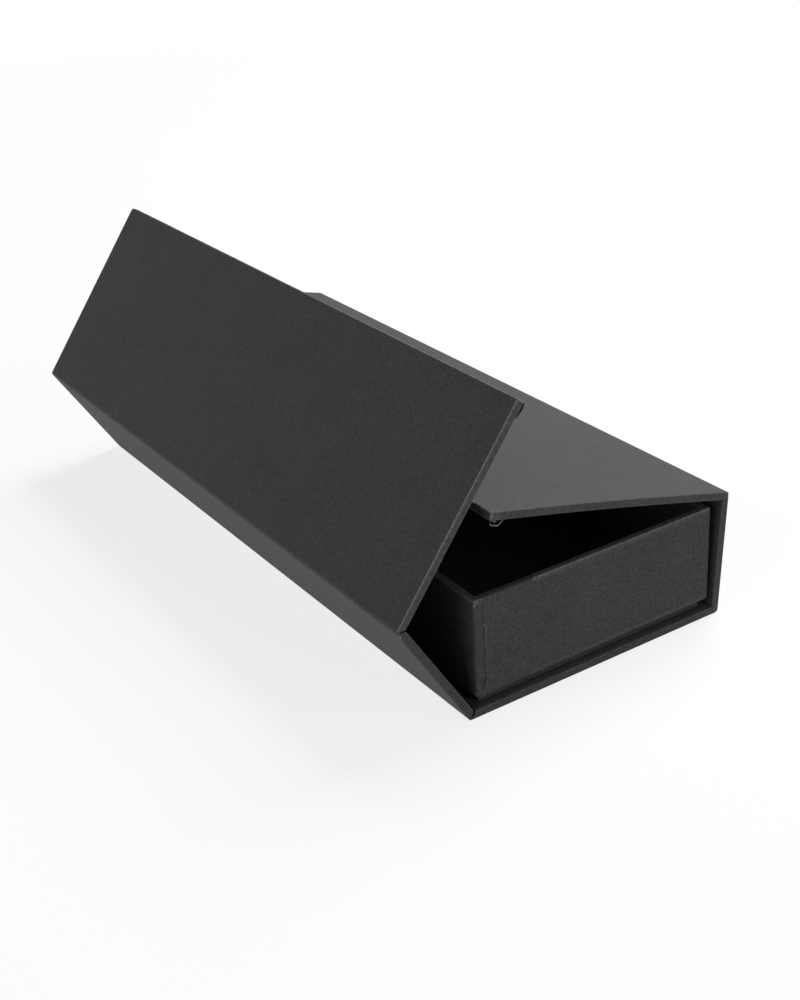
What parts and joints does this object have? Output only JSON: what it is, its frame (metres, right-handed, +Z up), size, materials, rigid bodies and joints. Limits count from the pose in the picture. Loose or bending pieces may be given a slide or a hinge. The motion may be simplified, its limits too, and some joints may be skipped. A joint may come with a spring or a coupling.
{
  "type": "folding gift box",
  "caption": "Long black paper-covered board gift box: a five-panel casing folds round a fixed open tray and shuts with hidden magnets; shown open.",
  "frame": {"origin": "centre of the base's underside, on the surface that the box stands on", "axes": "+X towards the lid's hinge side, +Y along the box to its far end, +Z up"},
  "size_m": [0.1205, 0.24, 0.0942],
  "materials": {
    "covering_paper": "matte black uncoated",
    "lining_paper": "matte black uncoated",
    "greyboard": "raw",
    "stay_tape": "kraft",
    "magnet": "nickel plated",
    "steel": "plain"
  },
  "bodies": {
    "base_and_tray": {"base_board": "greyboard", "base_wrap": "covering_paper", "base_liner": "lining_paper", "tray_seat_board": "greyboard", "tray_seat_wrap": "covering_paper", "tray_floor_board": "greyboard", "tray_left_board": "greyboard", "tray_right_board": "greyboard", "tray_near_board": "greyboard", "tray_far_board": "greyboard", "tray_corner_stays": "stay_tape", "tray_wrap": "covering_paper", "tray_side_lining": "lining_paper", "tray_floor_lining": "lining_paper"},
    "left_bottom_fold": {"left_bottom_fold": "covering_paper"},
    "left_wall": {"left_wall_board": "greyboard", "left_wall_wrap": "covering_paper", "left_wall_liner": "lining_paper"},
    "left_top_fold": {"left_top_fold": "covering_paper"},
    "left_flap": {"left_flap_board": "greyboard", "left_flap_wrap": "covering_paper", "left_flap_liner": "lining_paper", "flap_magnets": "magnet"},
    "right_bottom_fold": {"right_bottom_fold": "covering_paper"},
    "right_wall": {"right_wall_board": "greyboard", "right_wall_wrap": "covering_paper", "right_wall_liner": "lining_paper"},
    "right_top_fold": {"right_top_fold": "covering_paper"},
    "right_lid": {"right_lid_board": "greyboard", "right_lid_wrap": "covering_paper", "right_lid_liner": "lining_paper", "lid_steel_discs": "steel"}
  },
  "joints": [
    {"name": "shut_left_wall", "type": "hinge", "parent": "base_and_tray", "child": "left_bottom_fold", "pos_m": [-0.04659, 0, 0.0014], "axis": [0, -1, 0], "range_deg": [-23.7, 0]},
    {"name": "left_wall_fold", "type": "hinge", "parent": "left_bottom_fold", "child": "left_wall", "pos_m": [-0.04659, 0, 0.0014], "axis": [0, -1, 0], "range_deg": [-7.5, 58.8]},
    {"name": "shut_flap", "type": "hinge", "parent": "left_wall", "child": "left_top_fold", "pos_m": [-0.06861, 0, 0.03776], "axis": [0, -1, 0], "range_deg": [-11.9, 0]},
    {"name": "flap_fold", "type": "hinge", "parent": "left_top_fold", "child": "left_flap", "pos_m": [-0.06861, 0, 0.03776], "axis": [0, -1, 0], "range_deg": [-10, 68.1]},
    {"name": "shut_right_wall", "type": "hinge", "parent": "base_and_tray", "child": "right_bottom_fold", "pos_m": [0.04659, 0, 0.0014], "axis": [0, 1, 0], "range_deg": [-3.7, 0]},
    {"name": "right_wall_fold", "type": "hinge", "parent": "right_bottom_fold", "child": "right_wall", "pos_m": [0.04659, 0, 0.0014], "axis": [0, 1, 0], "range_deg": [0, 86.3]},
    {"name": "shut_lid", "type": "hinge", "parent": "right_wall", "child": "right_top_fold", "pos_m": [0.04909, 0, 0.04001], "axis": [0, 1, 0], "range_deg": [-10.6, 0]},
    {"name": "lid_fold", "type": "hinge", "parent": "right_top_fold", "child": "right_lid", "pos_m": [0.04909, 0, 0.04001], "axis": [0, 1, 0], "range_deg": [0, 79.4]}
  ],
  "couplings": [
    {"joint": "shut_flap", "follows": "shut_left_wall", "ratio": 0.50211},
    {"joint": "shut_lid", "follows": "shut_left_wall", "ratio": 0.44726},
    {"joint": "shut_right_wall", "follows": "shut_left_wall", "ratio": 0.15612}
  ]
}
